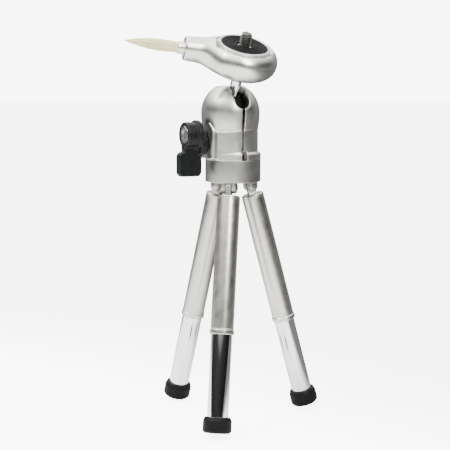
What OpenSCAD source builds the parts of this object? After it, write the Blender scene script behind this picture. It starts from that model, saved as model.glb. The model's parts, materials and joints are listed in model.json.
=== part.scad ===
// Table-top camera tripod: three telescopic hinged legs, a turning clamped ball head with a lever,
// and a teardrop camera platform whose handle ends in a lens brush.
// +Z is up, the feet stand on z = 0, and the origin is the middle of the footprint's bounding box.
// The tripod's own upright axis stands at (axis_x, axis_y).

/* [Legs] */
// Lean of an opened leg from upright, in degrees
leg_splay = 15.1; // [13:0.1:17]
// Direction of the front leg, in degrees from +X
front_leg_azimuth = -101.3; // [-106:0.1:-96]
// Distance of the hinge pins from the tripod axis
pivot_r = 10.3; // [10:0.1:10.8]
// Hinge pin to the end of an extended foot
leg_len = 132.2; // [128:0.1:136]
// Outer radius of the upper leg tube
upper_tube_r = 6.25; // [6.2:0.01:6.3]
// Outer radius of the chromed lower leg tube
lower_tube_r = 5.7; // [5.65:0.01:5.7]
// Radius of the rubber foot
foot_r = 7.75; // [7.4:0.05:7.9]
// Height of the rubber foot
foot_h = 8.4; // [8:0.1:10]

/* [Head] */
// Radius of the plain collar that carries the legs
collar_r = 15.4; // [15:0.1:16]
// Height of that collar
collar_h = 12.4; // [11:0.1:13]
// Radius of the dome over the ball
dome_r = 16.2; // [16:0.1:16.6]
// How far the dome and ball stand off the tripod axis, towards the lever
dome_shift = 1.6; // [0:0.1:1.8]
// Radius of the ball
ball_r = 9.3; // [9:0.1:9.4]
// Direction of the stem slot and of the clamping slit, in degrees from +X
slit_azimuth = -63; // [-70:1:-55]
// Lean of the stem towards the slot, in degrees from upright
lean = 26; // [15:0.5:30]
// Direction of the platform's handle, turned about the stem
handle_turn = -106; // [-115:1:-97]

/* [Platform] */
// Radius of the platform's round end
platform_r = 19.6; // [19:0.1:20]
// Thickness of the platform's round end
platform_t = 17; // [16.8:0.1:17.2]
// Distance from the platform's axis to the end of its handle
handle_len = 32; // [31:0.5:36]
// Radius of the handle's end
handle_r = 6.4; // [6:0.1:7]
// Radius of the rubber camera pad
pad_r = 12.6; // [12:0.1:12.8]
// Radius over the threads of the camera screw, 1/4 in
camera_screw_r = 3.175; // [3.1:0.005:3.2]
// Length of the brush tuft
tuft_len = 28.6; // [25:0.1:32]
// Greatest radius of the brush tuft
tuft_r = 3.3; // [2.8:0.1:3.6]

/* [Hidden] */
LEG = ["front", "right", "left"];

smooth = 96;          // facets of large round parts
fine = 48;            // facets of small round parts
cut = 0.1;            // how far a cutting shape runs past the face that it opens
play = 0.05;          // running clearance of small shafts and faces

// Leg hinges
pin_r = 1.5;
yoke_t = 3;           // thickness of the tongue on each leg
ear_t = 2.3;          // thickness of each ear on the hub
ear_gap = yoke_t + 0.4;
ear_r = 3;
eye_r = 2.4;          // rounded top of the tongue
heel_r = 3.9;         // reach of the heel that stops the opened leg
cap_top = 4.7;        // pin to the top of the leg tube's cap
plug_top = 6;         // pin to the top of the tube itself
plug_len = 8;
hinge_drop = 2.6;     // pin below the collar's underside

// Leg tubes, measured down the leg from the pin
tube_wall = 0.47;
upper_bore = upper_tube_r - tube_wall;
lower_bore = lower_tube_r - 0.5;
upper_end = 80;
bush_top = 58;
lower_top = 62.5;
foot_top = leg_len - foot_h;
socket_depth = foot_h - 3.2;
lip_r = upper_tube_r + 0.35;

// Heights above the ground
pivot_z = leg_len * cos(leg_splay) + foot_r * sin(leg_splay);
collar_z = pivot_z + hinge_drop;
head_z = collar_z + collar_h;
flange_h = 4.4;
flange_r = 15.5;
neck_r = 15.2;
neck_h = 16.8;
swell_h = 7.5;        // gentle swell from the neck up into the dome
dome_z = head_z + 26;
lever_z = head_z + 14;
ball_z = head_z + 28.1;
spigot_r = 12.25;
spigot_h = 6.5;
bore_r = 12.35;       // inside of the housing
bore_top = 26.3;      // top of its straight part, above the collar
seat_base = 6.7;      // bottom and shoulder of the plastic seat, above the collar
seat_top = 19.4;
socket_r = ball_r + play;

// Slot and slit of the housing
mouth_r = 6.3;
slot_w = 8.4;
tilt_end = 74;
slit_w = 1.4;

// Clamping lever, measured outward from the dome's axis along its bolt
boss_face = 15.5;
boss_w = 16;
bolt_r = 2.5;
hub_start = 19.5;
hub_end = 28.4;
lever_hub_r = 7;
blade_t = 4.7;
blade_start = 20.3;
blade_end = 32.2;
blade_len = 22.6;
waist_end = 29;       // blade's outer edge beside the hub
corner_r = 3;
lobe_r = 6.3;
lobe_drop = 5;
lobe_start = 16.8;
nut_start = 9;
nut_end = 14.3;
nut_r = 3.9;

// Stem and platform, measured from the ball's centre along the stem
stem_r = 3;
stem_end = 21.4;
stem_thread_r = 2.5;
stem_tip = 28.5;
platform_h = 31.4;     // to the handle's axis
disc_drop = 1.5;       // round end's mid-plane below the handle's axis
edge_r = platform_t / 2;
neck_root_r = 8.5;    // handle's radius where it leaves the platform's axis
hollow_r = 11.6;
floor_z = -7.5;       // inner floor of the platform body, from the handle's axis
rim_r = 14.2;
groove_r = 15.6;      // outside of the groove round the rim
rim_base = 5.3;
rim_top = 6.6;
pad_base = 5.7;
pad_top = 6.7;
pad_hole_r = 4;
screw_top = 13.2;
screw_neck_r = 2.9;   // plain neck below the threads
brush_bore_r = 4.5;
ferrule_r = 3.35;
ferrule_end = handle_len + 3.3;

// Where the tripod axis stands, so that the footprint's box is centred on the origin
function leg_azimuth(k) = front_leg_azimuth + 120 * k;
function foot_reach(k, towards) =
    (pivot_r + leg_len * sin(leg_splay)) * cos(leg_azimuth(k) - towards)
    + foot_r * sqrt(1 - pow(sin(leg_splay) * cos(leg_azimuth(k) - towards), 2));
stem_x = sin(lean) * cos(slit_azimuth);
handle_x = cos(handle_turn) * cos(lean) * cos(slit_azimuth) - sin(handle_turn) * sin(slit_azimuth);
tuft_tip_x = dome_shift * sin(slit_azimuth) + platform_h * stem_x + (ferrule_end + tuft_len) * handle_x;
axis_x = -(tuft_tip_x + foot_reach(1, 0)) / 2;
axis_y = (foot_reach(0, -90) - foot_reach(2, 90)) / 2;

// ---- Places ----

// The tripod's upright axis, on the ground
module at_axis() translate([axis_x, axis_y, 0]) children();

// A leg's hinge pin: +X outward, +Z up
module at_pivot(k)
    at_axis() rotate([0, 0, leg_azimuth(k)]) translate([pivot_r, 0, pivot_z]) children();

// An opened leg: origin at the pin, +Z down the leg
module along_leg(k) at_pivot(k) rotate([0, 180 - leg_splay, 0]) children();

// The head: +X towards the slot, z = 0 at the collar's top
module at_head() at_axis() translate([0, 0, head_z]) rotate([0, 0, slit_azimuth]) children();

// The dome's own upright axis, a little to the lever's side of the tripod axis
module at_dome() at_head() translate([0, -dome_shift, 0]) children();

// The clamp bolt: +Z outward through the lever, +Y up
module along_bolt() at_dome() translate([0, 0, lever_z - head_z]) rotate([90, 0, 0]) children();

// The stem: origin at the ball's centre, +Z along the stem
module along_stem() at_dome() translate([0, 0, ball_z - head_z]) rotate([0, lean, 0]) children();

// The platform: origin where its axis meets the handle's, +X along the handle
module at_platform() along_stem() translate([0, 0, platform_h]) rotate([0, 0, handle_turn]) children();

// The handle: origin on the platform's axis, +Z out through the brush
module along_handle() at_platform() rotate([0, 90, 0]) children();

// ---- Shapes used more than once ----

// A plain washer or bushing standing on z = base
module ring(outer, inner, base, top, sides = fine)
    translate([0, 0, base]) difference() {
        cylinder(r = outer, h = top - base, $fn = sides);
        translate([0, 0, -cut]) cylinder(r = inner, h = top - base + 2 * cut, $fn = fine);
    }

// The space that the stem sweeps as it tilts from upright to the end of its slot
module stem_sweep(width) {
    rotate([90, 0, 0]) linear_extrude(width, center = true)
        polygon([[0, 0], [0, 25], [25, 25], [25, 25 / tan(tilt_end)]]);
    rotate([0, tilt_end, 0]) cylinder(r = width / 2, h = 25, $fn = fine);
}

// ---- Hub and leg hinges ----

module ears(k)
    for (side = [-1, 1]) at_pivot(k) translate([0, side * (ear_gap + ear_t) / 2, 0]) {
        rotate([90, 0, 0]) cylinder(r = ear_r, h = ear_t, center = true, $fn = fine);
        translate([-ear_r, -ear_t / 2, 0]) cube([2 * ear_r, ear_t, hinge_drop + 1]);
    }

module leg_hub() color("darkgray") difference() {
    union() {
        at_axis() translate([0, 0, collar_z]) cylinder(r = collar_r, h = collar_h, $fn = smooth);
        at_axis() translate([0, 0, head_z - 1]) cylinder(r = spigot_r, h = spigot_h + 1, $fn = smooth);
        for (k = [0:2]) ears(k);
    }
    at_axis() translate([0, 0, collar_z - cut]) {
        cylinder(r = bolt_r + play, h = collar_h + spigot_h + 1, $fn = fine);
        cylinder(r = 5.5, h = 5 + cut, $fn = fine);
    }
    for (k = [0:2]) at_pivot(k) rotate([90, 0, 0]) cylinder(r = pin_r, h = 12, center = true, $fn = fine);
}

module hinge_pin(k) color("silver") at_pivot(k) {
    half = ear_gap / 2 + ear_t;
    rotate([90, 0, 0]) cylinder(r = pin_r - 0.02, h = 2 * half + 0.4, center = true, $fn = fine);
    for (side = [-1, 1]) translate([0, side * (half + 0.35), 0]) rotate([90, 0, 0])
        cylinder(r = 2.3, h = 0.7, center = true, $fn = fine);
}

module pan_washer() color("dimgray") at_axis() ring(5.2, 2.7, collar_z + 4, collar_z + 5);

module pan_screw() color("silver") at_axis() translate([0, 0, collar_z]) difference() {
    union() {
        translate([0, 0, 0.5]) cylinder(r = 4.4, h = 3.5 - play, $fn = fine);
        translate([0, 0, 2]) cylinder(r = bolt_r - play, h = 21, $fn = fine);
    }
    translate([0, 0, 0.5 - cut]) cylinder(r = 2.3, h = 2 + cut, $fn = 6);
}

// ---- Ball head ----

module housing_outside() {
    at_head() rotate_extrude($fn = smooth) polygon([[0, 0], [flange_r, 0], [flange_r, flange_h - 1],
                                                    [flange_r - 1, flange_h], [0, flange_h]]);
    at_dome() {
        translate([0, 0, dome_z - head_z]) sphere(r = dome_r, $fn = smooth);
        translate([0, 0, neck_h]) cylinder(r1 = neck_r + 0.1, r2 = dome_r - 0.3, h = swell_h, $fn = smooth);
        translate([0, 0, 1]) cylinder(r = neck_r, h = neck_h - 1, $fn = smooth);
        // Arched boss with a flat face for the lever
        intersection() {
            cylinder(r = dome_r + 0.2, h = 30, $fn = smooth);
            union() {
                translate([-boss_w / 2, -boss_face, 1]) cube([boss_w, boss_face, lever_z - head_z - 1]);
                translate([0, 0, lever_z - head_z]) rotate([90, 0, 0])
                    cylinder(r = boss_w / 2, h = boss_face, $fn = smooth);
            }
        }
    }
}

module ball_housing() color("silver") difference() {
    housing_outside();
    at_head() {
        translate([0, 0, -cut]) cylinder(r = bore_r, h = seat_base + cut, $fn = smooth);
        translate([10, -1.1, -cut]) cube([10, 2, flange_h + 0.8 + cut]);
    }
    at_dome() {
        translate([0, 0, seat_base - play])
            cylinder(r = bore_r, h = bore_top - seat_base + play, $fn = smooth);
        translate([0, 0, bore_top]) sphere(r = bore_r, $fn = smooth);
        translate([0, 0, ball_z - head_z]) cylinder(r = mouth_r, h = 20, $fn = fine);
        translate([0, 0, ball_z - head_z]) stem_sweep(slot_w);
        translate([10, -slit_w / 2, flange_h - 0.8]) cube([10, slit_w, ball_z - head_z - flange_h + 0.8]);
    }
    along_bolt() cylinder(r = bolt_r + play, h = 20, $fn = fine);
    along_bolt() translate([0, 0, -20]) cylinder(r = nut_r + 0.02, h = 15, $fn = fine);
}

module socket_liner() color("black") at_dome() difference() {
    union() {
        translate([0, 0, seat_top + play])
            cylinder(r = spigot_r, h = bore_top - seat_top - play, $fn = smooth);
        intersection() {
            translate([0, 0, bore_top]) sphere(r = spigot_r, $fn = smooth);
            translate([0, 0, bore_top - 1]) cylinder(r = spigot_r + 1, h = 20, $fn = smooth);
        }
    }
    translate([0, 0, ball_z - head_z]) sphere(r = socket_r, $fn = smooth);
    cylinder(r = socket_r, h = ball_z - head_z, $fn = smooth);
    translate([0, 0, ball_z - head_z]) cylinder(r = mouth_r - 0.4, h = 20, $fn = fine);
    translate([0, 0, ball_z - head_z]) stem_sweep(slot_w - 1.2);
    translate([5, -1, 0]) cube([12, 2, ball_z - head_z]);
}

module ball_seat() color("ivory") difference() {
    at_dome() difference() {
        union() {
            translate([0, 0, seat_base]) cylinder(r = spigot_r, h = seat_top - seat_base, $fn = smooth);
            translate([0, 0, seat_base]) cylinder(r = ball_r - 0.05, h = 16.3, $fn = smooth);
        }
        translate([0, 0, ball_z - head_z]) sphere(r = socket_r, $fn = smooth);
    }
    at_head() cylinder(r = bolt_r, h = 12, $fn = fine);
    along_bolt() cylinder(r = bolt_r + 0.2, h = 40, center = true, $fn = fine);
    along_bolt() translate([0, 0, -20]) cylinder(r = nut_r + 0.1, h = 20 - nut_start + 0.2, $fn = fine);
}

module clamp_nut() color("goldenrod") along_bolt() ring(nut_r, bolt_r + play, -nut_end, -nut_start);

module clamp_bolt() color("silver") along_bolt() {
    translate([0, 0, -nut_end]) cylinder(r = bolt_r, h = nut_end + 24.6, $fn = fine);
    translate([0, 0, 24.4]) rotate([0, 0, 30]) cylinder(r = 5.2, h = 3.8, $fn = 6);
}

module lever_spacer() color("silver") along_bolt() ring(3.5, bolt_r, boss_face + play, hub_start);

// Side view of the blade: x is the distance along the bolt, y is up
module blade_outline() {
    low = -blade_len;
    polygon([[blade_start, 0], [blade_start, low + corner_r], [blade_start + corner_r, low],
             [blade_end - corner_r, low], [blade_end, low + corner_r], [blade_end, -10.5],
             [waist_end, -7], [waist_end, -5.5], [hub_end, -5.5], [hub_end, 0]]);
    for (x = [blade_start + corner_r, blade_end - corner_r])
        translate([x, low + corner_r]) circle(r = corner_r, $fn = fine);
}

module clamp_lever() color("#202224") along_bolt() difference() {
    union() {
        rotate_extrude($fn = smooth) polygon([[0, hub_start], [8, hub_start], [8, hub_start + 2.4],
            [lever_hub_r, hub_start + 3], [lever_hub_r, hub_end - 0.8], [lever_hub_r - 0.8, hub_end],
            [0, hub_end]]);
        translate([0, -lobe_drop, lobe_start]) cylinder(r = lobe_r, h = 3.2, $fn = fine);
        rotate([0, -90, 0]) translate([0, 0, -blade_t / 2]) linear_extrude(blade_t) blade_outline();
    }
    cylinder(r = bolt_r, h = 30, $fn = fine);
    translate([0, 0, lobe_start - cut]) cylinder(r = 3.6, h = hub_start - lobe_start + cut, $fn = fine);
    translate([0, 0, 24.4]) rotate([0, 0, 30]) cylinder(r = 5.2, h = 6, $fn = 6);
}

module ball() color("#26282a") along_stem() difference() {
    sphere(r = ball_r, $fn = smooth);
    translate([0, 0, 1.5]) cylinder(r = stem_thread_r, h = 10, $fn = fine);
    translate([0, 0, ball_r - 1.1]) cylinder(r = stem_r, h = 2, $fn = fine);
}

module stem() color("silver") along_stem() {
    translate([0, 0, 2]) cylinder(r = stem_thread_r, h = stem_tip - 2, $fn = fine);
    translate([0, 0, ball_r - 1.1]) cylinder(r = stem_r, h = stem_end - play - ball_r + 1.1, $fn = fine);
}

module stem_nut() color("silver") along_stem()
    translate([0, 0, platform_h + floor_z + play]) difference() {
        cylinder(r = 4.6, h = 3.5, $fn = 6);
        translate([0, 0, -cut]) cylinder(r = stem_thread_r, h = 4, $fn = fine);
    }

// ---- Camera platform ----

// The platform's round end: a disc with a fully rounded edge
module round_end() translate([0, 0, -disc_drop]) {
    cylinder(r = platform_r - edge_r, h = platform_t, center = true, $fn = smooth);
    rotate_extrude($fn = smooth) translate([platform_r - edge_r, 0]) circle(r = edge_r, $fn = fine);
}

module platform_body() color("#d8d8d6") at_platform() difference() {
    union() {
        round_end();
        rotate([0, 90, 0]) cylinder(r1 = neck_root_r, r2 = handle_r, h = handle_len - 0.6, $fn = smooth);
        translate([handle_len - 0.7, 0, 0]) rotate([0, 90, 0])
            cylinder(r1 = handle_r, r2 = handle_r - 0.6, h = 0.7, $fn = smooth);
    }
    translate([0, 0, floor_z]) cylinder(r = hollow_r, h = platform_t, $fn = smooth);
    translate([0, 0, rim_base]) cylinder(r = groove_r, h = 5, $fn = smooth);
    translate([0, 0, -platform_t]) cylinder(r = stem_thread_r + play, h = platform_t, $fn = fine);
    rotate([0, 90, 0]) cylinder(r = brush_bore_r, h = handle_len + 1, $fn = fine);
}

module platform_rim() color("#c9c9c7") at_platform() rotate_extrude($fn = smooth)
    polygon([[screw_neck_r, rim_base - 1], [hollow_r - 0.1, rim_base - 1], [hollow_r - 0.1, rim_base],
             [rim_r, rim_base], [rim_r, rim_top - 0.4], [rim_r - 0.4, rim_top], [pad_r + 0.05, rim_top],
             [pad_r + 0.05, pad_base], [screw_neck_r, pad_base]]);

module camera_pad() color("#4a4a48") at_platform() rotate_extrude($fn = smooth)
    polygon([[pad_hole_r, pad_base], [pad_r, pad_base], [pad_r, pad_top - 0.3],
             [pad_r - 0.3, pad_top], [pad_hole_r, pad_top]]);

module camera_screw() color("gray") at_platform() {
    translate([0, 0, rim_base - 3.5]) cylinder(r = 5.5, h = 2.5, $fn = 6);
    rotate_extrude($fn = fine)
        polygon([[0, rim_base - 1.5], [screw_neck_r, rim_base - 1.5], [screw_neck_r, pad_top - 0.1],
                 [camera_screw_r, pad_top - 0.1], [camera_screw_r, screw_top - 0.6],
                 [camera_screw_r - 0.6, screw_top], [0, screw_top]]);
}

// ---- Lens brush in the handle ----

module brush_plug() color("#b8b8b6") along_handle()
    ring(brush_bore_r - 0.02, ferrule_r, 16, handle_len - 0.3);

module brush_ferrule() color("#e4e0d4") along_handle() ring(ferrule_r, ferrule_r - 0.35, 24, ferrule_end);

// Radius of the tuft at a share t of its length: it swells for the first third, then runs to a point
function tuft_width(t) =
    t < 1 / 3 ? tuft_r * (0.88 + 0.12 * sin(270 * t)) : 0.3 + (tuft_r - 0.3) * pow(cos(135 * t - 45), 0.9);

module brush_tuft() color("#efe8cf") along_handle() rotate_extrude($fn = fine) polygon(concat(
    [[0, ferrule_end - 6], [ferrule_r - 0.4, ferrule_end - 6]],
    [for (i = [0:24]) [tuft_width(i / 24), ferrule_end + 0.02 + tuft_len * i / 24]],
    [[0, ferrule_end + 0.02 + tuft_len]]));

// ---- Legs ----

module leg_yoke(k) color("#cfcdc8") along_leg(k) difference() {
    union() {
        rotate([90, 0, 0]) cylinder(r = eye_r, h = yoke_t, center = true, $fn = fine);
        translate([-eye_r, -yoke_t / 2, 0]) cube([2 * eye_r, yoke_t, cap_top + 0.5]);
        translate([0, 0, cap_top]) cylinder(r = upper_tube_r, h = plug_top - cap_top, $fn = fine);
        translate([0, 0, plug_top - 0.2]) cylinder(r = upper_bore - 0.02, h = plug_len + 0.2, $fn = fine);
        // Heel that meets the collar's underside when the leg is fully open
        rotate([0, leg_splay - 180, 0]) intersection() {
            rotate([90, 0, 0]) cylinder(r = heel_r, h = yoke_t, center = true, $fn = fine);
            translate([0, -yoke_t / 2, 0]) cube([heel_r, yoke_t, hinge_drop - play]);
        }
    }
    rotate([90, 0, 0]) cylinder(r = pin_r + play, h = 12, center = true, $fn = fine);
}

module upper_tube(k) color("silver") along_leg(k) rotate_extrude($fn = smooth)
    polygon([[upper_bore, plug_top], [upper_tube_r, plug_top], [upper_tube_r, upper_end - 2.2],
             [lip_r, upper_end - 1.8], [lip_r, upper_end - 0.4], [lip_r - 0.4, upper_end],
             [upper_bore, upper_end]]);

module slide_bush(k) color("ivory") along_leg(k) rotate_extrude($fn = smooth)
    polygon([[0, bush_top], [upper_bore - 0.04, bush_top], [upper_bore - 0.04, lower_top],
             [lower_bore - 0.02, lower_top], [lower_bore - 0.02, lower_top + 4], [0, lower_top + 4]]);

module lower_tube(k) color("#b0b2b4") along_leg(k)
    ring(lower_tube_r, lower_bore, lower_top, foot_top + socket_depth, smooth);

module foot(k) color("#1e1e1e") along_leg(k) rotate_extrude($fn = smooth)
    polygon([[lower_tube_r + 0.02, foot_top], [foot_r - 0.4, foot_top], [foot_r, foot_top + 0.4],
             [foot_r, leg_len - 1], [foot_r - 1, leg_len], [0, leg_len],
             [0, foot_top + socket_depth], [lower_tube_r + 0.02, foot_top + socket_depth]]);

// ---- The assembly ----

leg_hub();
pan_washer();
pan_screw();
ball_housing();
socket_liner();
ball_seat();
clamp_nut();
clamp_bolt();
lever_spacer();
clamp_lever();
ball();
stem();
stem_nut();
platform_body();
platform_rim();
camera_pad();
camera_screw();
brush_plug();
brush_ferrule();
brush_tuft();
for (k = [0:2]) {
    hinge_pin(k);
    leg_yoke(k);
    upper_tube(k);
    slide_bush(k);
    lower_tube(k);
    foot(k);
}
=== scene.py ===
import json
import math
import random

import bmesh
import bpy
import numpy as np
from mathutils import Matrix, Vector

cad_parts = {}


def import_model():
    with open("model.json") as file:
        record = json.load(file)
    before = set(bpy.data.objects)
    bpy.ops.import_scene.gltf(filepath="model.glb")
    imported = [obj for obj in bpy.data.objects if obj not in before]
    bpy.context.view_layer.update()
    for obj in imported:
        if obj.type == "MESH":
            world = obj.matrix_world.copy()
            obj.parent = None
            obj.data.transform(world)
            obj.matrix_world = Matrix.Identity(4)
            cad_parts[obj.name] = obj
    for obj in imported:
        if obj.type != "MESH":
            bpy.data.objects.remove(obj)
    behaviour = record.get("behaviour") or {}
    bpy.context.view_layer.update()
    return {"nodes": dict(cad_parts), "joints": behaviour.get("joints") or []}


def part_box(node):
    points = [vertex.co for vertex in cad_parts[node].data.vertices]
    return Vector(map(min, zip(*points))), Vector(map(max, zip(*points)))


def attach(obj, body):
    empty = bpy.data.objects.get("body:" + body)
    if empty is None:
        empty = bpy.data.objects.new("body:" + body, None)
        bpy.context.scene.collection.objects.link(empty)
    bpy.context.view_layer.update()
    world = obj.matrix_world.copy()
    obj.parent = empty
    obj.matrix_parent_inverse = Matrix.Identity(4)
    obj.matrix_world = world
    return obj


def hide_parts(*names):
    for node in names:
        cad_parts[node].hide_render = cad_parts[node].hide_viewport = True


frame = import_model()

# Lengths are in millimetres in each part's own place, and MM turns them into Blender's metres.
MM = 0.001
NODES = frame["nodes"]
JOINTS = {j["name"]: j for j in frame["joints"]}
LEGS = ("front", "right", "left")


# ---- Places, from the frame's joints ----

def place(origin, z_axis, y_axis):
    """A place with that origin, +Z along z_axis and +Y as near y_axis as it can be."""
    z = Vector(z_axis).normalized()
    x = Vector(y_axis).cross(z).normalized()
    y = z.cross(x)
    m = Matrix((x, y, z)).transposed().to_4x4()
    m.translation = Vector(origin)
    return m


def local_points(node, where):
    """A CAD node's vertices in a place, in millimetres."""
    co = np.array([v.co for v in NODES[node].data.vertices], float)
    m = np.array(where.inverted())
    return (co @ m[:3, :3].T + m[:3, 3]) / MM


def middle(node):
    low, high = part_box(node)
    return (low + high) / 2


def span(node, where):
    """Lowest and highest z of a CAD node in a place, and its greatest radius about that place's Z."""
    p = local_points(node, where)
    return p[:, 2].min(), p[:, 2].max(), np.hypot(p[:, 0], p[:, 1]).max()


UP = Vector((0, 0, 1))
AXIS = Vector(JOINTS["head_pan"]["pos_m"])
TILT_AXIS = Vector(JOINTS["ball_tilt"]["axis"])
STEM_AXIS = Vector(JOINTS["platform_turn"]["axis"])
PLATFORM_AT = Vector(JOINTS["platform_turn"]["pos_m"])
BALL_AT = Vector(JOINTS["ball_tilt"]["pos_m"])
BOLT_AXIS = Vector(JOINTS["lever_turn"]["axis"])
HANDLE = middle("brush_ferrule") - PLATFORM_AT

COLUMN = place(AXIS, UP, TILT_AXIS)                # z = 0 at the collar's top, +X towards the slot
DOME = place((BALL_AT.x, BALL_AT.y, AXIS.z), UP, TILT_AXIS)
BOLT = place(JOINTS["lever_turn"]["pos_m"], BOLT_AXIS, UP)
STEM = place(BALL_AT, STEM_AXIS, TILT_AXIS)
PLATFORM = place(PLATFORM_AT, STEM_AXIS, STEM_AXIS.cross(HANDLE))
BRUSH = place(PLATFORM_AT, HANDLE, STEM_AXIS)


def leg_place(leg):
    """An opened leg: origin at its pin, +Z down the leg, +Y along the pin."""
    fold, slide = JOINTS[leg + "_leg_fold"], JOINTS[leg + "_leg_slide"]
    return place(fold["pos_m"], -Vector(slide["axis"]), fold["axis"])


# ---- Mesh tools ----

def link(obj):
    bpy.context.scene.collection.objects.link(obj)
    return obj


def mesh_piece(name, points, faces, where, sharp_deg=40):
    """A smooth-shaded mesh from points in millimetres, with hard edges above an angle."""
    mesh = bpy.data.meshes.new(name)
    mesh.from_pydata([tuple(np.asarray(p) * MM) for p in points], [], faces)
    bm = bmesh.new()
    bm.from_mesh(mesh)
    bmesh.ops.remove_doubles(bm, verts=bm.verts, dist=1e-6)
    bmesh.ops.recalc_face_normals(bm, faces=bm.faces)
    bm.to_mesh(mesh)
    bm.free()
    mesh.shade_smooth()
    mesh.set_sharp_from_angle(angle=math.radians(sharp_deg))
    obj = link(bpy.data.objects.new(name, mesh))
    obj.matrix_world = where
    return obj


def rounded(corners, steps=5):
    """An outline of (r, z, radius) corners, with each corner rounded by its radius."""
    out = []
    n = len(corners)
    for i, (r, z, radius) in enumerate(corners):
        p = Vector((r, z))
        before = Vector(corners[i - 1][:2]) - p
        after = Vector(corners[(i + 1) % n][:2]) - p
        if radius <= 0 or before.length < 1e-6 or after.length < 1e-6:
            out.append((r, z))
            continue
        turn = before.angle(after)
        back = min(radius / math.tan(turn / 2), 0.49 * before.length, 0.49 * after.length)
        a, b = p + before.normalized() * back, p + after.normalized() * back
        for s in range(steps + 1):
            t = s / steps
            out.append(tuple((1 - t) ** 2 * a + 2 * t * (1 - t) * p + t * t * b))
    return out


def lathe(name, outline, where, sides=96, closed=True):
    """Turns an outline of (radius, z) about the place's Z axis."""
    points, faces = [], []
    count = len(outline)
    for s in range(sides):
        c, d = math.cos(2 * math.pi * s / sides), math.sin(2 * math.pi * s / sides)
        points += [(max(r, 0) * c, max(r, 0) * d, z) for r, z in outline]
    for s in range(sides):
        here, there = s * count, (s + 1) % sides * count
        for i in range(count if closed else count - 1):
            j = (i + 1) % count
            if outline[i][0] <= 1e-9 and outline[j][0] <= 1e-9:
                continue
            faces.append((here + i, here + j, there + j, there + i))
    return mesh_piece(name, points, faces, where)


def solid_lathe(name, corners, where, sides=96):
    """A lathed solid whose outline starts and ends on the axis."""
    return lathe(name, rounded(corners), where, sides, closed=False)


def join(name, parts):
    """Several meshes in one object, in the first one's place."""
    first = parts[0]
    bm = bmesh.new()
    for part in parts:
        mesh = part.data.copy()
        mesh.transform(first.matrix_world.inverted() @ part.matrix_world)
        bm.from_mesh(mesh)
        bpy.data.meshes.remove(mesh)
    bm.to_mesh(first.data)
    bm.free()
    for part in parts[1:]:
        bpy.data.objects.remove(part)
    first.name = name
    return first


# ---- Shapes given by their distance fields, with every edge rounded ----

def soft_min(a, b, k):
    h = np.clip(0.5 + 0.5 * (b - a) / k, 0, 1)
    return b + (a - b) * h - k * h * (1 - h)


def soft_max(a, b, k):
    return -soft_min(-a, -b, k)


def capped(radial, z, r, low, high, k=0.5):
    """A cylinder of radius r from low to high, with rounded rims."""
    return soft_max(radial - r, np.maximum(low - z, z - high), k)


def field_mesh(name, node, where, field, voxel):
    """A CAD node's shape remeshed finely, with its points drawn onto the surface where field is zero."""
    mesh = NODES[node].data.copy()
    mesh.transform(where.inverted())
    obj = link(bpy.data.objects.new(name, mesh))
    remesh = obj.modifiers.new("fine", "REMESH")
    remesh.mode = "VOXEL"
    remesh.voxel_size = voxel * MM
    done = bpy.data.meshes.new_from_object(obj.evaluated_get(bpy.context.evaluated_depsgraph_get()))
    obj.modifiers.clear()
    obj.data = done
    p = np.zeros(len(done.vertices) * 3)
    done.vertices.foreach_get("co", p)
    p = p.reshape(-1, 3) / MM
    step = 0.02
    for _ in range(12):
        d = field(p)
        slope = np.stack([(field(p + step * e) - field(p - step * e)) / (2 * step)
                          for e in np.eye(3)], 1)
        size = np.maximum((slope ** 2).sum(1), 0.2)
        p -= np.clip(d / size, -0.25, 0.25)[:, None] * slope
    done.vertices.foreach_set("co", (p * MM).ravel())
    done.shade_smooth()
    obj.matrix_world = where
    return obj


# ---- Materials ----

# Measures of the dome housing, in its own place, for its shape and its material.
DOME_R, NECK_R, FLANGE_R, BORE_R = 16.2, 14.6, 15.5, 12.35
DOME_Z, BALL_Z, LEVER_Z, BORE_TOP = 26.0, 28.1, 14.0, 26.3
NECK_H, FLANGE_H, BOSS_FACE, BOSS_HALF = 16.8, 4.4, 15.5, 8.0
SLOT_HALF, MOUTH_R, SLIT_HALF, TILT_END, SHIFT = 4.2, 6.3, 0.7, math.radians(74), 1.6
# Painted shade on the slit's walls starts this far out along x, in millimetres.
SLIT_PAINTED_SHADE_FROM = 10


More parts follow.
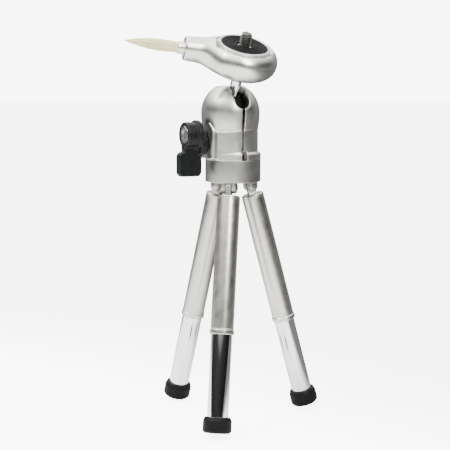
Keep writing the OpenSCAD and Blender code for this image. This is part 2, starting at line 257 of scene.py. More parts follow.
class Nodes:
    """A material's node tree, with short ways to add and join nodes."""

    def __init__(self, name, color, metallic, roughness, ior=1.5):
        self.material = bpy.data.materials.new(name)
        self.material.use_nodes = True
        self.tree = self.material.node_tree
        self.shader = self.tree.nodes["Principled BSDF"]
        self.shader.inputs["Base Color"].default_value = (*color, 1)
        self.shader.inputs["Metallic"].default_value = metallic
        self.shader.inputs["Roughness"].default_value = roughness
        self.shader.inputs["IOR"].default_value = ior

    def add(self, kind, **inputs):
        node = self.tree.nodes.new(kind)
        for key, value in inputs.items():
            node.inputs[key.replace("_", " ")].default_value = value
        return node

    def join(self, out, into):
        self.tree.links.new(out, into)

    def place(self, scale):
        """Each part's own coordinates in millimetres, stretched by scale."""
        coordinates = self.add("ShaderNodeTexCoord")
        mapping = self.add("ShaderNodeMapping", Scale=[s / MM for s in scale])
        self.join(coordinates.outputs["Object"], mapping.inputs["Vector"])
        return mapping.outputs["Vector"]

    def noise(self, scale, detail=3.0, at=(1, 1, 1), distortion=0.0):
        """Noise with features of about 1 / scale millimetres."""
        node = self.add("ShaderNodeTexNoise", Scale=scale, Detail=detail, Distortion=distortion)
        self.join(self.place(at), node.inputs["Vector"])
        return node.outputs["Fac"]

    def ramp(self, fac, stops):
        """A colour ramp from (position, colour) stops."""
        node = self.add("ShaderNodeValToRGB")
        for element, (position, _) in zip(node.color_ramp.elements, (stops[0], stops[-1])):
            element.position = position
        for position, _ in stops[1:-1]:
            node.color_ramp.elements.new(position)
        for element, (_, color) in zip(node.color_ramp.elements, stops):
            element.color = (*color, 1)
        self.join(fac, node.inputs["Fac"])
        return node.outputs["Color"]

    def range(self, fac, low, high):
        node = self.add("ShaderNodeMapRange")
        node.inputs["From Min"].default_value = 0.3
        node.inputs["From Max"].default_value = 0.7
        node.inputs["To Min"].default_value = low
        node.inputs["To Max"].default_value = high
        self.join(fac, node.inputs["Value"])
        return node.outputs["Result"]

    def bump(self, height, strength, distance):
        """Bump of a depth in millimetres."""
        node = self.add("ShaderNodeBump", Strength=strength, Distance=distance * MM)
        self.join(height, node.inputs["Height"])
        self.join(node.outputs["Normal"], self.shader.inputs["Normal"])

    def rough(self, value):
        self.join(value, self.shader.inputs["Roughness"])

    def color(self, value):
        self.join(value, self.shader.inputs["Base Color"])


def shades(color, spread):
    """A darker and a lighter tone of a colour."""
    return [tuple(min(c * f, 1) for c in color) for f in (1 - spread, 1 + spread)]


def painted_slit_shade(n, metal):
    """Darkens a metal with painted shade on the cut walls of the housing's clamping slit, in the housing's
    own place.
    """
    split = n.add("ShaderNodeSeparateXYZ")
    n.join(n.place((1, 1, 1)), split.inputs["Vector"])
    beside = n.add("ShaderNodeMath")
    beside.operation = "ABSOLUTE"
    n.join(split.outputs["Y"], beside.inputs[0])
    # Painted shade: near black on the slit's walls, fading to the metal's own colour just outside them.
    painted_wall_shade = n.ramp(beside.outputs["Value"],
                  [(SLIT_HALF - 0.02, (0.02,) * 3), (SLIT_HALF + 0.12, (1,) * 3)])
    # The painted shade is kept to the slit's walls far enough out along x.
    front = n.add("ShaderNodeMath")
    front.operation = "GREATER_THAN"
    front.inputs[1].default_value = SLIT_PAINTED_SHADE_FROM
    n.join(split.outputs["X"], front.inputs[0])
    shade = n.add("ShaderNodeMix")
    shade.data_type, shade.blend_type = "RGBA", "MULTIPLY"
    n.join(front.outputs["Value"], shade.inputs["Factor"])
    n.join(metal, shade.inputs[6])
    n.join(painted_wall_shade, shade.inputs[7])
    return shade.outputs[2]


def satin_metal(name, color, roughness, grain=(1, 1, 1), depth=0.004, slit=False):
    """Bead-blasted and plated metal: soft sheen, fine grain, faint handling marks."""
    n = Nodes(name, color, 1.0, roughness)
    dark, light = shades(color, 0.05)
    metal = n.ramp(n.noise(0.35, 4.0), [(0.35, dark), (0.65, light)])
    # With slit set, the cut walls of the clamping slit get painted shade.
    n.color(painted_slit_shade(n, metal) if slit else metal)
    n.rough(n.range(n.noise(0.12, 5.0, distortion=0.6), roughness - 0.05, roughness + 0.06))
    n.bump(n.noise(7.0, 2.0, grain), 0.5, depth)
    return n.material


def chrome(name, color=(0.88, 0.88, 0.89), roughness=0.05):
    """Polished chrome plate with faint wipe marks along the part."""
    n = Nodes(name, color, 1.0, roughness)
    n.rough(n.range(n.noise(0.5, 6.0, (1, 1, 0.12)), roughness - 0.02, roughness + 0.05))
    n.bump(n.noise(0.25, 3.0), 0.15, 0.01)
    return n.material


def brushed_steel(name, color, roughness=0.3, grain=(1, 1, 12)):
    """Turned steel with fine rings about the part's axis."""
    n = Nodes(name, color, 1.0, roughness)
    dark, light = shades(color, 0.12)
    n.color(n.ramp(n.noise(1.2, 3.0, grain), [(0.3, dark), (0.7, light)]))
    n.rough(n.range(n.noise(1.5, 3.0, grain), roughness - 0.08, roughness + 0.1))
    n.bump(n.noise(2.5, 2.0, grain), 0.3, 0.01)
    return n.material


def moulded(name, color, roughness, depth=0.012, scale=5.0):
    """Moulded plastic with a fine spark-eroded grain and polished high spots."""
    n = Nodes(name, color, 0.0, roughness)
    dark, light = shades(color, 0.15)
    n.color(n.ramp(n.noise(0.25, 4.0), [(0.35, dark), (0.65, light)]))
    n.rough(n.range(n.noise(0.3, 5.0), roughness - 0.07, roughness + 0.08))
    n.bump(n.noise(scale, 3.0), 0.5, depth)
    n.shader.inputs["Specular IOR Level"].default_value = 0.18
    return n.material


def rubber(name, color, roughness, depth, scale):
    """Matt rubber with a leathery grain and a dusty bloom."""
    n = Nodes(name, color, 0.0, roughness)
    dark, light = shades(color, 0.3)
    n.color(n.ramp(n.noise(0.4, 6.0), [(0.3, dark), (0.7, light)]))
    n.rough(n.range(n.noise(0.8, 4.0), roughness - 0.1, roughness + 0.1))
    cells = n.add("ShaderNodeTexVoronoi", Scale=scale)
    cells.feature = "SMOOTH_F1"
    n.join(n.place((1, 1, 1)), cells.inputs["Vector"])
    n.bump(cells.outputs["Distance"], 0.6, depth)
    n.shader.inputs["Specular IOR Level"].default_value = 0.12
    return n.material


def bristle(name):
    """Fine hair in deeper and paler cream tones, streaked along its length."""
    n = Nodes(name, (0.8, 0.7, 0.45), 0.0, 0.55)
    n.color(n.ramp(n.noise(3.0, 2.0, (1, 1, 0.05)),
                   [(0.25, (0.84, 0.72, 0.32)), (0.5, (0.97, 0.90, 0.52)), (0.8, (1.0, 0.97, 0.76))]))
    n.bump(n.noise(6.0, 2.0, (1, 1, 0.05)), 0.4, 0.05)
    n.shader.inputs["Sheen Weight"].default_value = 0.3
    n.shader.inputs["Subsurface Weight"].default_value = 0.15
    n.shader.inputs["Subsurface Radius"].default_value = (0.002, 0.0015, 0.0008)
    return n.material


SATIN = satin_metal("satin_metal", (0.68, 0.677, 0.635), 0.29, depth=0.002)
# slit=True paints shade on the cut walls of the clamping slit.
HOUSING = satin_metal("housing_metal", (0.62, 0.617, 0.578), 0.34, depth=0.002, slit=True)
COLLAR = satin_metal("collar_metal", (0.40, 0.398, 0.365), 0.38)
TUBE = satin_metal("tube_metal", (0.60, 0.59, 0.54), 0.32, grain=(1, 1, 0.15), depth=0.004)
RIM = satin_metal("rim_metal", (0.62, 0.61, 0.60), 0.34)
CHROME = chrome("chrome")
STEEL = brushed_steel("turned_steel", (0.48, 0.47, 0.45))
SCREW = brushed_steel("screw_steel", (0.09, 0.09, 0.083), 0.42)
DARK = brushed_steel("blackened_steel", (0.03, 0.03, 0.032), 0.4)
BRASS = brushed_steel("brass", (0.72, 0.55, 0.25))
BLACK = moulded("black_plastic", (0.007, 0.008, 0.008), 0.36)
SOCKET = moulded("socket_plastic", (0.010, 0.010, 0.011), 0.42)
IVORY = moulded("ivory_plastic", (0.72, 0.70, 0.62), 0.45)
PAD = rubber("pad_rubber", (0.0045, 0.0045, 0.0042), 0.75, 0.08, 1.6)
FOOT = rubber("foot_rubber", (0.0035, 0.0038, 0.0036), 0.55, 0.03, 2.5)
FERRULE = satin_metal("ferrule_metal", (0.80, 0.77, 0.68), 0.30)
BRISTLE = bristle("bristle")


def finish(obj, material, body, slot, *nodes):
    """Gives a piece its material and its body, and hides the CAD nodes that it stands for; slot is not used.
    """
    obj.data.materials.clear()
    obj.data.materials.append(material)
    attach(obj, body)
    if nodes:
        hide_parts(*nodes)
    return obj


# ---- Legs ----

PLATE_SIDES = 24
PIN_HOLE_R = 1.55


def plate(name, outline, thickness, where, bevel=0.25):
    """A flat plate in the place's XZ plane, centred on it, with rounded edges."""
    half = thickness / 2
    n = len(outline)
    points = [(x, s * half, z) for s in (-1, 1) for x, z in outline]
    faces = [tuple(range(n)), tuple(range(2 * n - 1, n - 1, -1))]
    faces += [(i, (i + 1) % n, n + (i + 1) % n, n + i) for i in range(n)]
    obj = mesh_piece(name, points, faces, where)
    bm = bmesh.new()
    bm.from_mesh(obj.data)
    edges = [e for e in bm.edges if len(e.link_faces) == 2 and e.calc_face_angle() > math.radians(50)]
    bmesh.ops.bevel(bm, geom=edges, offset=bevel * MM, segments=3, affect="EDGES", profile=0.6)
    bm.to_mesh(obj.data)
    bm.free()
    obj.data.shade_smooth()
    obj.data.set_sharp_from_angle(angle=math.radians(35))
    return obj


def drill(obj, r, reach):
    """Cuts a round hole along the Y axis of a piece's own place."""
    where = obj.matrix_world.copy()
    tool = lathe("drill", [(0, -reach), (r, -reach), (r, reach), (0, reach)],
                 place(where.translation, where.col[1].xyz, where.col[2].xyz), 48, closed=False)
    cut = obj.modifiers.new("hole", "BOOLEAN")
    cut.operation, cut.solver, cut.object = "DIFFERENCE", "EXACT", tool
    done = bpy.data.meshes.new_from_object(obj.evaluated_get(bpy.context.evaluated_depsgraph_get()))
    obj.modifiers.clear()
    obj.data = done
    bpy.data.objects.remove(tool)


def arc(cx, cz, r, start, end, steps=PLATE_SIDES):
    """Points along an arc in a plate's plane, angles in degrees."""
    turns = [math.radians(start + (end - start) * i / steps) for i in range(steps + 1)]
    return [(cx + r * math.cos(a), cz + r * math.sin(a)) for a in turns]


def leg_yoke(leg, where, tube_r):
    """The plug that closes the tube, and the tongue that hinges on the pin."""
    eye_r, tongue_t = 2.4, 3.0
    cap_top, cap_end, plug_end = 4.7, 6.0, 14.0
    cap = solid_lathe("cap", [
        (0, cap_top, 0), (tube_r, cap_top, 0.7), (tube_r, cap_end, 0.1),
        (tube_r - 0.6, cap_end, 0), (tube_r - 0.6, plug_end, 0.3), (0, plug_end, 0)], where)
    tongue_outline = arc(0, 0, eye_r, 180, 360) + [(eye_r, cap_top + 0.4), (-eye_r, cap_top + 0.4)]
    tongue = plate("tongue", tongue_outline, tongue_t, where)
    lean = math.acos(-where.col[2].z)
    heel_corners = [(0, 0), (3.9, 0)] + arc(0, 0, 3.9, 0, 40.8, 6)[1:] + [(0, 2.55)]
    heel = plate("heel", [(-x * math.cos(lean) - y * math.sin(lean),
                           x * math.sin(lean) - y * math.cos(lean))
                          for x, y in heel_corners], tongue_t, where)
    for part in (tongue, heel):
        drill(part, PIN_HOLE_R, 5)
    yoke = join("leg_yoke_look_" + leg, [cap, tongue, heel])
    finish(yoke, TUBE, leg + "_leg", "tube_metal", "leg_yoke_" + leg)


def upper_tube(leg, where, start, end, r):
    """The satin tube, with a groove and a rolled lip at its lower end."""
    bore = r - 0.82
    body_r = r - 0.35
    outline = rounded([
        (bore, start, 0.1), (body_r, start, 0.25), (body_r, end - 3.1, 0.1), (body_r - 0.1, end - 2.9, 0.1),
        (body_r - 0.1, end - 2.6, 0.1), (r, end - 2.2, 0.35), (r, end, 0.45), (bore, end, 0.2)])
    finish(lathe("upper_tube_look_" + leg, outline, where), TUBE, leg + "_leg", "tube_metal",
           "upper_tube_" + leg)
    return body_r


def lower_tube(leg, where, start, end, r):
    """The chromed tube."""
    outline = rounded([(r - 0.5, start, 0.1), (r, start, 0.2), (r, end, 0.2), (r - 0.5, end, 0.1)])
    finish(lathe("lower_tube_look_" + leg, outline, where, 128), CHROME, leg + "_leg_tip", "chrome",
           "lower_tube_" + leg)


def foot(leg, where, start, end, r, tube_r):
    """The rubber foot: a thin lip round the tube, a shallow groove, and rings under its sole."""
    sole = []
    ring_w = 1.1
    for i in range(5):
        inner = 5.9 - ring_w * i
        sole += [(inner, end, 0.1), (inner - 0.15, end - 0.35, 0.1),
                 (inner - 0.5, end - 0.35, 0.1), (inner - 0.65, end, 0.1)]
    outline = rounded([(tube_r, start, 0.1), (r - 0.7, start, 0.4), (r - 0.35, start + 1.2, 0.3),
                       (r, start + 1.9, 0.4), (r, end - 1.1, 0.6), (r - 1.0, end, 0.4)]
                      + sole + [(0, end, 0), (0, end - 3.2, 0), (tube_r, end - 3.2, 0.1)], 3)
    finish(lathe("foot_look_" + leg, outline, where), FOOT, leg + "_leg_tip", "rubber_foot",
           "foot_" + leg)


def hinge_pin(leg):
    """A riveted pin with a domed head at each end."""
    fold = JOINTS[leg + "_leg_fold"]
    where = place(fold["pos_m"], fold["axis"], UP)
    low, high, head_r = span("hinge_pin_" + leg, where)
    shank_r, head_t = 1.48, 0.7
    outline = [(0, low, 0), (head_r * 0.6, low + 0.05, 0.8), (head_r, low + head_t, 0.1),
               (shank_r, low + head_t, 0), (shank_r, high - head_t, 0), (head_r, high - head_t, 0.1),
               (head_r * 0.6, high - 0.05, 0.8), (0, high, 0)]
    finish(solid_lathe("hinge_pin_look_" + leg, outline, where, 48), STEEL, "stand", "steel",
           "hinge_pin_" + leg)


def legs():
    for leg in LEGS:
        where = leg_place(leg)
        top, end, lip_r = span("upper_tube_" + leg, where)
        body_r = upper_tube(leg, where, top, end, lip_r)
        leg_yoke(leg, where, body_r)
        tube_top, tube_end, tube_r = span("lower_tube_" + leg, where)
        lower_tube(leg, where, tube_top, tube_end, tube_r)
        foot_top, foot_end, foot_r = span("foot_" + leg, where)
        foot(leg, where, foot_top, foot_end, foot_r, tube_r)
        hinge_pin(leg)


# ---- Hub ----

def leg_hub():
    """The collar with its spigot, screw pocket and three pairs of ears."""
    _, high, r = span("leg_hub", COLUMN)
    pins = [Vector(JOINTS[leg + "_leg_fold"]["pos_m"]) for leg in LEGS]
    pin_z = (COLUMN.inverted() @ pins[0]).z / MM
    under = pin_z + 2.6
    spigot_r, pocket_r, bore_r, pocket_top = 12.25, 5.5, 2.6, under + 5
    collar = lathe("collar", rounded([
        (pocket_r, under, 0.3), (r - 1.6, under, 0.2), (r - 1.3, under + 0.35, 0.2), (r, under + 0.35, 0.45),
        (r, -0.12, 0.35), (spigot_r, -0.12, 0.1), (spigot_r, high, 0.4), (bore_r, high, 0.2),
        (bore_r, pocket_top, 0.1), (pocket_r, pocket_top, 0.1)]), COLUMN, 160)
    ear_r, ear_t, gap = 3.0, 2.3, 3.4
    parts = [collar]
    for leg, pin in zip(LEGS, pins):
        tangent = Vector(JOINTS[leg + "_leg_fold"]["axis"])
        for side in (-1, 1):
            at = pin + tangent * side * (gap + ear_t) / 2 * MM
            outline = arc(0, 0, ear_r, 180, 360) + [(ear_r, 3.0), (-ear_r, 3.0)]
            parts.append(plate("ear", outline, ear_t, place(at, UP, tangent), 0.35))
    finish(join("leg_hub_look", parts), COLLAR, "stand", "satin_metal", "leg_hub")


# ---- Ball head ----

def housing_field(p):
    """Distance to the dome housing's surface, below zero inside the metal."""
    x, y, z = p.T
    out = np.hypot(x, y)
    at_flange = np.hypot(x, y - SHIFT)
    dome = np.sqrt(out ** 2 + np.maximum(z - DOME_Z, 0) ** 2) - DOME_R
    dome += np.where(z < DOME_Z, 0.9 * ((DOME_Z - z) / (DOME_Z - NECK_H)) ** 2, 0)
    dome = soft_max(dome, NECK_H - z, 0.25)
    neck = capped(np.hypot(x, y - SHIFT / 2), z, NECK_R, 1.0, NECK_H + 1, 0.2)
    chamfer = ((at_flange - FLANGE_R) + (z - FLANGE_H + 1)) / math.sqrt(2)
    flange = soft_max(capped(at_flange, z, FLANGE_R, 0.0, FLANGE_H, 0.25), chamfer, 0.25)
    arch = np.where(z < LEVER_Z, np.abs(x), np.hypot(x, z - LEVER_Z)) - BOSS_HALF
    boss = soft_max(soft_max(arch, -y - BOSS_FACE, 0.5), np.maximum(y, 1 - z), 0.3)
    boss = soft_max(boss, out - DOME_R - 0.2, 0.6)
    body = soft_min(soft_min(dome, neck, 0.3), soft_min(flange, boss, 0.3), 0.3)
    up = z - BALL_Z
    angle = np.arctan2(x, up)
    end = np.hypot(x * math.cos(TILT_END) - up * math.sin(TILT_END), y) - SLOT_HALF
    slot = np.where((angle > 0) & (angle < TILT_END), np.abs(y) - SLOT_HALF, end)
    slot = np.where(x < -0.5, 9.0, slot)
    mouth = np.maximum(out - MOUTH_R, -up)
    slit = np.maximum(np.maximum(np.abs(y) - SLIT_HALF, 8 - x),
                      np.maximum(z - BALL_Z, FLANGE_H - 0.8 - z))
    flange_slit = np.maximum(np.maximum(np.abs(y - SHIFT + 0.1) - 1, 8 - x), z - FLANGE_H - 0.8)
    bore = np.where(z < BORE_TOP, out, np.sqrt(out ** 2 + (z - BORE_TOP) ** 2)) - BORE_R
    bore = np.minimum(np.maximum(bore, 6.65 - z), np.maximum(at_flange - BORE_R, z - 6.7))
    bolt = np.hypot(x, z - LEVER_Z) - np.where(y > 0, 3.92, 2.55)
    body = soft_max(body, -soft_min(slot, mouth, 0.8), 0.9)
    body = soft_max(soft_max(body, -slit, 0.2), -flange_slit, 0.25)
    body = soft_max(body, -bore, 0.2)
    return soft_max(soft_max(body, -bolt, 0.2), -z, 0.3)


def ball_housing():
    look = field_mesh("ball_housing_look", "ball_housing", DOME, housing_field, 0.3)
    finish(look, HOUSING, "head", "satin_metal", "ball_housing")


def ball_and_stem():
    """The dark ball, and the chromed stem with a small foot under the platform."""
    low, _, _ = span("ball", STEM)
    turns = [math.pi * (1 - i / 48) for i in range(49)]
    outline = [(-low * math.sin(a), -low * math.cos(a)) for a in turns][::-1]
    ball = lathe("ball_look", outline, STEM, 96, closed=False)
    finish(ball, SOCKET, "ball_stem", "black_plastic", "ball")
    stem_r, shoulder = 3.0, 21.35
    stem = solid_lathe("stem_look", [
        (0, 6.5, 0), (stem_r, 6.5, 0), (stem_r, shoulder - 2.2, 1.0), (stem_r + 0.5, shoulder - 1.0, 0.4),
        (stem_r + 0.5, shoulder, 0.2), (2.5, shoulder, 0), (2.5, 28.5, 0.4), (0, 28.5, 0)], STEM)
    finish(stem, CHROME, "ball_stem", "chrome", "stem")


# ---- Clamping lever ----

def lever_field(p):
    """Distance to the lever's surface: x across the blade, y up, z outward along the bolt."""
    x, y, z = p.T
    out = np.hypot(x, y)
    hub = capped(out, z, 7.0, 19.5, 28.4, 0.9)
    flange = capped(out, z, 8.0, 19.5, 22.3, 0.7)
    lobe = capped(np.hypot(x, y + 5), z, 6.3, 16.8, 20.5, 0.8)
    edge = 1.1
    paddle_z, paddle_y = np.abs(z - 25.2) - 7.0 + 2.6, np.abs(y + 15.9) - 6.7 + 2.6
    paddle = np.hypot(np.maximum(paddle_z, 0), np.maximum(paddle_y, 0)) + np.minimum(
        np.maximum(paddle_z, paddle_y), 0) - 2.6
    waist = np.maximum(np.abs(z - 24.65) - 4.35, np.abs(y + 8) - 6)
    side = soft_min(paddle, waist, 1.2)
    blade = soft_max(side, np.abs(x) - 2.35, edge)
    body = soft_min(soft_min(hub, flange, 0.4), soft_min(blade, lobe, 0.8), 1.0)
    hexagon = np.maximum(np.abs(x), np.abs(y) * math.cos(math.radians(30)) + np.abs(x) / 2) - 4.6
    pocket = np.maximum(hexagon, 25.6 - z)
    bore = np.maximum(out - np.where(z < 19.5, 3.6, 2.5), z - 27)
    return soft_max(soft_max(body, -pocket, 0.5), -bore, 0.3)


def clamp_lever():
    look = field_mesh("clamp_lever_look", "clamp_lever", BOLT, lever_field, 0.25)
    finish(look, BLACK, "lever", "black_plastic", "clamp_lever")


def clamp_bolt():
    """The hexagon head flush in the lever's hub, with a chamfered rim and a shallow dimple, and the shank."""
    low, high, across = span("clamp_bolt", BOLT)
    head_start, shank_r, flat = high - 3.8, 2.48, across * math.cos(math.radians(30))
    corners = [math.radians(60 * i + 30) for i in range(6)]
    hexagon = [(across * math.cos(a), across * math.sin(a)) for a in corners]
    rings = [(1.0, head_start), (1.0, high - 0.45), (0.93, high - 0.05), (0.86, high)]
    points = [(x * s, y * s, z) for s, z in rings for x, y in hexagon]
    rim = [(flat * 0.80, high), (flat * 0.62, high - 0.06), (flat * 0.5, high - 0.35), (0.01, high - 0.45)]
    faces = [(k * 6 + i, k * 6 + (i + 1) % 6, k * 6 + 6 + (i + 1) % 6, k * 6 + 6 + i)
             for k in range(len(rings) - 1) for i in range(6)]
    sides = 48
    start = len(points)
    for r, z in rim:
        points += [(r * math.cos(2 * math.pi * s / sides), r * math.sin(2 * math.pi * s / sides), z)
                   for s in range(sides)]
    for i in range(6):
        ring = [start + (i * 8 + 4 + k) % sides for k in range(9)]
        faces.append(tuple([18 + i, 18 + (i + 1) % 6] + ring[::-1]))
    for k in range(len(rim) - 1):
        faces += [(start + k * sides + s, start + k * sides + (s + 1) % sides,
                   start + (k + 1) * sides + (s + 1) % sides, start + (k + 1) * sides + s)
                  for s in range(sides)]
    faces.append(tuple(range(start + 3 * sides, start + 4 * sides)))
    faces.append((5, 4, 3, 2, 1, 0))
    head = mesh_piece("head", points, faces, BOLT, 25)
    shank = solid_lathe("shank", [(0, low, 0), (shank_r, low, 0.4), (shank_r, head_start, 0),
                                  (0, head_start, 0)], BOLT, 48)
    finish(join("clamp_bolt_look", [head, shank]), STEEL, "lever", "steel", "clamp_bolt")


def lever_spacer():
    low, high, r = span("lever_spacer", BOLT)
    outline = rounded([(2.5, low, 0.1), (r, low, 0.3), (r, high, 0.3), (2.5, high, 0.1)])
    finish(lathe("lever_spacer_look", outline, BOLT, 64), DARK, "lever", "steel", "lever_spacer")


# ---- Camera platform ----

def platform_field(p):
    """Distance to the platform body's surface: a disc with a round edge, drawn out into the handle."""
    x, y, z = p.T
    out = np.hypot(x, y)
    disc = np.hypot(np.maximum(out - 11.1, 0), z + 1.5) - 8.5
    around = np.hypot(y, z)
    taper = (8.5 - 6.4) / 31.4
    neck = (around - (8.5 - taper * x)) / math.hypot(1, taper)
    neck = soft_max(neck, np.maximum(x - 32, -x), 0.9)
    blend = 0.8 + 5.2 * np.clip((x - 4) / 10, 0, 1)
    body = soft_min(disc, neck, blend)
    hollow = np.maximum(out - 11.6, -7.5 - z)
    recess = np.minimum(np.maximum(out - 15.6, 5.3 - z), np.maximum(np.abs(out - 14.95) - 0.65, 3.2 - z))
    stem = np.maximum(out - 2.55, z + 5)
    brush = np.maximum(around - 4.5, -x)
    body = soft_max(body, -hollow, 0.2)
    body = soft_max(body, -recess, 0.35)
    return soft_max(soft_max(body, -stem, 0.2), -brush, 0.4)


def platform_body():
    look = field_mesh("platform_body_look", "platform_body", PLATFORM, platform_field, 0.3)
    finish(look, SATIN, "platform", "satin_metal", "platform_body")


def platform_rim():
    """The turned ring that holds the camera pad."""
    low, high, r = span("platform_rim", PLATFORM)
    seat, pad_r = high - 0.9, 12.65
    outline = rounded([
        (2.95, low, 0), (11.5, low, 0), (11.5, low + 1, 0), (r, low + 1, 0.1), (r, high, 0.45),
        (pad_r + 0.3, high, 0.2), (pad_r, high - 0.3, 0.1), (pad_r, seat, 0), (2.95, seat, 0)])
    finish(lathe("platform_rim_look", outline, PLATFORM, 160), RIM, "platform", "rim_metal", "platform_rim")


def camera_pad():
    """The rubber ring, with moulded concentric ribs for grip."""
    low, high, r = span("camera_pad", PLATFORM)
    outline = [(4.0, low, 0.05), (r, low, 0.05), (r, high - 0.1, 0.3), (r - 0.9, high, 0.2)]
    rib = r - 1.5
    while rib > 6.2:
        outline += [(rib, high, 0.08), (rib - 0.25, high - 0.28, 0.08), (rib - 0.55, high - 0.28, 0.08),
                    (rib - 0.8, high, 0.08)]
        rib -= 1.5
    outline += [(4.7, high, 0.2), (4.0, high - 0.15, 0.3)]
    finish(lathe("camera_pad_look", rounded(outline, 3), PLATFORM, 128), PAD, "platform", "rubber_pad",
           "camera_pad")


def camera_screw():
    """The 1/4 in camera screw: hexagon head below the rim, plain neck, cut thread and a chamfered tip."""
    low, high, _ = span("camera_screw", PLATFORM)
    crest, root, pitch, neck_end = 3.175, 2.45, 1.27, high - 6.6
    profile = [(0.0, root), (0.10, root), (0.42, crest), (0.58, crest), (0.90, root)]
    turns, sides = 7, 48
    start = neck_end - 0.9
    points, faces = [], []
    rows = turns * sides + 1
    for i in range(rows):
        a = 2 * math.pi * i / sides
        base = start + pitch * i / sides
        for share, r in profile:
            z = base + share * pitch
            r = min(r, crest - max(z - (high - 0.75), 0) * 0.9)
            r = root if z < neck_end + 0.1 else r
            points.append((r * math.cos(a), r * math.sin(a), min(z, high - 0.12)))
    step = len(profile)
    for i in range(rows - 1):
        faces += [(i * step + k, i * step + k + 1, (i + 1) * step + k + 1, (i + 1) * step + k)
                  for k in range(step - 1)]
        if i + sides < rows:
            faces.append((i * step + step - 1, (i + sides) * step,
                          (min(i + sides + 1, rows - 1)) * step, (i + 1) * step + step - 1))
    thread = mesh_piece("thread", points, faces, PLATFORM, 30)
    core = solid_lathe("core", [
        (0, low + 2.0, 0), (2.9, low + 2.0, 0), (2.9, neck_end, 0.3), (root, neck_end + 0.3, 0.1),
        (root, high - 0.4, 0.3), (root - 0.45, high, 0.1), (0, high - 0.1, 0)], PLATFORM, 64)
    hexagon = [(5.5, math.radians(60 * i)) for i in range(6)]
    head = mesh_piece("head", [(r * math.cos(a), r * math.sin(a), z)
                               for z in (low, low + 2.5) for r, a in hexagon],
                      [tuple(range(6)), tuple(range(6, 12))]
                      + [(i, (i + 1) % 6, 6 + (i + 1) % 6, 6 + i) for i in range(6)], PLATFORM)
    finish(join("camera_screw_look", [core, thread, head]), SCREW, "platform", "steel", "camera_screw")


# ---- Lens brush ----

def brush_plug():
    """The handle's end disc, stepped and chamfered round the ferrule."""
    low, high, r = span("brush_plug", BRUSH)
    outline = rounded([(3.37, low, 0), (r, low, 0), (r, high - 0.5, 0.2), (r - 0.35, high, 0.1),
                       (3.85, high, 0.15), (3.7, high - 0.35, 0.1), (3.37, high - 0.35, 0)])
    finish(lathe("brush_plug_look", outline, BRUSH, 96), RIM, "platform", "handle_plug", "brush_plug")


def brush_ferrule():
    """The thin tube, with two crimped grooves and a rolled mouth round the hair."""
    low, high, r = span("brush_ferrule", BRUSH)
    outer = [(r - 0.35, low, 0), (r, low, 0)]
    for z in (high - 2.2, high - 1.3):
        outer += [(r, z - 0.3, 0.15), (r - 0.18, z, 0.2), (r, z + 0.3, 0.15)]
    outline = rounded(outer + [(r, high, 0.17), (r - 0.35, high, 0.17)])
    finish(lathe("brush_ferrule_look", outline, BRUSH, 96), FERRULE, "platform", "ferrule", "brush_ferrule")


def tuft_width(t):
    """Radius of the tuft at a share t of its free length."""
    if t < 1 / 3:
        return 3.3 * (0.88 + 0.12 * math.sin(math.radians(270 * t)))
    return 0.3 + 3.0 * max(math.cos(math.radians(135 * t - 45)), 0) ** 0.9


def brush_tuft():
    """Fine tapered hairs that fan out of the ferrule and close to a point, round a soft core."""
    low, high, _ = span("brush_tuft", BRUSH)
    _, mouth, _ = span("brush_ferrule", BRUSH)
    free = high - mouth
    dice = random.Random(7)
    points, faces = [], []
    sides, steps = 5, 12
    for hair in range(620):
        share = math.sqrt((hair + 0.5) / 620)
        turn = hair * 2.39996323
        length = 1 - 0.30 * (1 - share) * dice.random() - 0.16 * dice.random() ** 2
        thick = 0.11 + 0.05 * dice.random()
        drift, lean_out = dice.uniform(-0.25, 0.25), 1 - 0.10 * dice.random()
        base = len(points)
        for i in range(steps + 1):
            t = i / steps * length
            z = mouth - 1.5 + (free + 1.5) * t
            s = max((z - mouth) / free, 0)
            spread = max(tuft_width(s) - 0.12, 0.12) * share * lean_out
            spread = min(spread, 2.85 if z < mouth + 0.2 else spread)
            a = turn + drift * t
            r = thick * (1 - t ** 3 * 0.75)
            cx, cy = spread * math.cos(a), spread * math.sin(a)
            points += [(cx + r * math.cos(b), cy + r * math.sin(b), z)
                       for b in (2 * math.pi * k / sides for k in range(sides))]
        for i in range(steps):
            row = base + i * sides
            faces += [(row + k, row + (k + 1) % sides, row + sides + (k + 1) % sides, row + sides + k)
                      for k in range(sides)]
        tip = base + steps * sides
        faces.append(tuple(tip + k for k in range(sides)))
    hairs = mesh_piece("hairs", points, faces, BRUSH, 180)
    rings = [(tuft_width(i / 24) - 0.45, mouth + free * i / 24 * 0.93) for i in range(24)]
    core = solid_lathe("core", [(0, low, 0), (2.9, low, 0)] + [(max(r, 0.05), z, 0) for r, z in rings]
                       + [(0, mouth + free * 0.92, 0)], BRUSH, 48)
    finish(join("brush_tuft_look", [hairs, core]), BRISTLE, "platform", "bristle", "brush_tuft")


# ---- CAD parts that keep their own mesh ----

def inner_parts():
    """Parts hidden inside the assembly, or already exact in the CAD, with their materials."""
    for node, material, body, slot in (
            ("pan_washer", SCREW, "stand", "steel"), ("pan_screw", STEEL, "head", "steel"),
            ("socket_liner", SOCKET, "head", "black_plastic"), ("ball_seat", IVORY, "head", "ivory_plastic"),
            ("clamp_nut", BRASS, "head", "brass"), ("stem_nut", STEEL, "ball_stem", "steel"),
            *(("slide_bush_" + leg, IVORY, leg + "_leg_tip", "ivory_plastic") for leg in LEGS)):
        finish(NODES[node], material, body, slot)


# ---- Studio ----

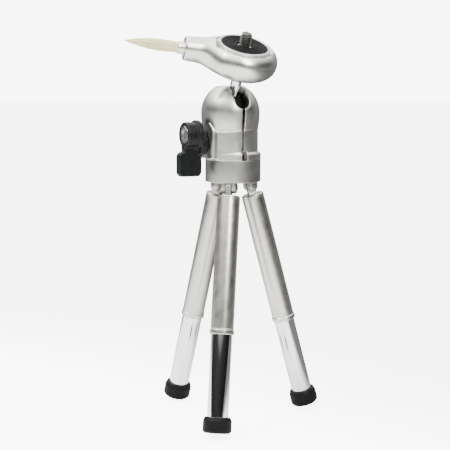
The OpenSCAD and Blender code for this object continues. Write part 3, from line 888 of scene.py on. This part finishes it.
def floor():
    """A pale floor, lit white round the tripod, whose far parts are dim in reflections: its colour darkens
    away from the tripod as painted shade.
    """
    mesh = bpy.data.meshes.new("floor")
    mesh.from_pydata([(-30, -30, 0), (30, -30, 0), (30, 30, 0), (-30, 30, 0)], [], [(0, 1, 2, 3)])
    obj = link(bpy.data.objects.new("floor", mesh))
    obj.location.z = -0.0002
    n = Nodes("paper_floor", (0.9, 0.9, 0.9), 0.0, 0.9)
    coordinates = n.add("ShaderNodeTexCoord")
    away = n.add("ShaderNodeVectorMath")
    away.operation = "DISTANCE"
    n.join(coordinates.outputs["Object"], away.inputs[0])
    away.inputs[1].default_value = (-0.45, -0.45, 0)
    # Painted shade: the floor's colour falls from pale near the tripod to near black further out.
    n.color(n.ramp(away.outputs["Value"],
                   [(0.64, (0.92,) * 3), (0.72, (0.30,) * 3), (0.8, (0.04,) * 3)]))
    n.shader.inputs["Emission Color"].default_value = (1, 1, 1, 1)
    path = n.add("ShaderNodeLightPath")
    seen = n.add("ShaderNodeMath")
    seen.operation = "MULTIPLY"
    seen.inputs[1].default_value = FLOOR_SEEN
    n.join(path.outputs["Is Camera Ray"], seen.inputs[0])
    n.join(seen.outputs["Value"], n.shader.inputs["Emission Strength"])
    mesh.materials.append(n.material)


def mix_colors(tree, kind, a, b):
    node = tree.nodes.new("ShaderNodeMix")
    node.data_type, node.blend_type = "RGBA", kind
    node.inputs["Factor"].default_value = 1
    tree.links.new(a, node.inputs[6])
    tree.links.new(b, node.inputs[7])
    return node.outputs[2]


def grey_ramp(tree, fac, stops):
    ramp = tree.nodes.new("ShaderNodeValToRGB")
    while len(ramp.color_ramp.elements) < len(stops):
        ramp.color_ramp.elements.new(0.5)
    for element, (position, grey) in zip(ramp.color_ramp.elements, stops):
        element.position = position
        element.color = (grey, grey, grey, 1)
    tree.links.new(fac, ramp.inputs["Fac"])
    return ramp.outputs["Color"]


def world():
    """A room that is bright overhead and on the left, and dark low down."""
    w = bpy.data.worlds.new("studio")
    w.use_nodes = True
    tree = w.node_tree
    lit = tree.nodes["Background"]
    lit.inputs["Strength"].default_value = WORLD_LIGHT
    coordinates = tree.nodes.new("ShaderNodeTexCoord")
    split = tree.nodes.new("ShaderNodeSeparateXYZ")
    tree.links.new(coordinates.outputs["Generated"], split.inputs["Vector"])
    height = grey_ramp(tree, split.outputs["Z"],
                       [(0.0, 0.004), (0.28, 0.012), (0.45, 0.20), (0.65, 0.60), (0.85, 1.0)])
    across = tree.nodes.new("ShaderNodeMapRange")
    across.inputs["From Min"].default_value = -1
    tree.links.new(split.outputs["X"], across.inputs["Value"])
    sides = grey_ramp(tree, across.outputs["Result"], [(0.0, 1.0), (0.4, 1.0), (0.7, 0.6), (1.0, 0.5)])
    depth = tree.nodes.new("ShaderNodeMapRange")
    depth.inputs["From Min"].default_value = -1
    tree.links.new(split.outputs["Y"], depth.inputs["Value"])
    behind = grey_ramp(tree, depth.outputs["Result"], [(0.55, 0.0), (0.75, 0.06)])
    lights = mix_colors(tree, "ADD", mix_colors(tree, "MULTIPLY", height, sides), behind)
    tree.links.new(lights, lit.inputs["Color"])
    seen = tree.nodes.new("ShaderNodeBackground")
    seen.inputs["Color"].default_value = (1, 1, 1, 1)
    seen.inputs["Strength"].default_value = SEEN_LIGHT
    path = tree.nodes.new("ShaderNodeLightPath")
    mix = tree.nodes.new("ShaderNodeMixShader")
    tree.links.new(path.outputs["Is Camera Ray"], mix.inputs["Fac"])
    tree.links.new(lit.outputs["Background"], mix.inputs[1])
    tree.links.new(seen.outputs["Background"], mix.inputs[2])
    tree.links.new(mix.outputs["Shader"], tree.nodes["World Output"].inputs["Surface"])
    bpy.context.scene.world = w


def lamp(name, kind, toward, energy, **settings):
    """A lamp that shines on the head from a direction."""
    data = bpy.data.lights.new(name, kind)
    data.energy = energy
    for key, value in settings.items():
        setattr(data, key, value)
    obj = link(bpy.data.objects.new(name, data))
    obj.location = Vector((0, 0, 0.13)) + Vector(toward)
    obj.rotation_euler = (-Vector(toward)).to_track_quat("-Z", "Y").to_euler()


WORLD_LIGHT = 5.0
SEEN_LIGHT = 8.0
FLOOR_SEEN = 6.5
CAMERA_FROM_AXIS = Vector((-4.4, -583.6, 179.6)) * MM


def studio():
    floor()
    world()
    lamp("key", "SUN", (-0.59, -0.23, 0.77), 2.4, angle=math.radians(26))
    lamp("fill", "AREA", (0.28, -0.55, 0.42), 5.0, shape="RECTANGLE", size=0.2, size_y=0.4)
    cam = bpy.data.cameras.new("camera")
    cam.lens, cam.sensor_width = 84, 36
    obj = link(bpy.data.objects.new("camera", cam))
    obj.location = Vector((AXIS.x, AXIS.y, 0)) + CAMERA_FROM_AXIS
    obj.rotation_euler = (math.radians(90 - 7.0), 0, 0)
    bpy.context.scene.camera = obj


legs()
leg_hub()
ball_housing()
ball_and_stem()
clamp_lever()
clamp_bolt()
lever_spacer()
platform_body()
platform_rim()
camera_pad()
camera_screw()
brush_plug()
brush_ferrule()
brush_tuft()
inner_parts()
studio()
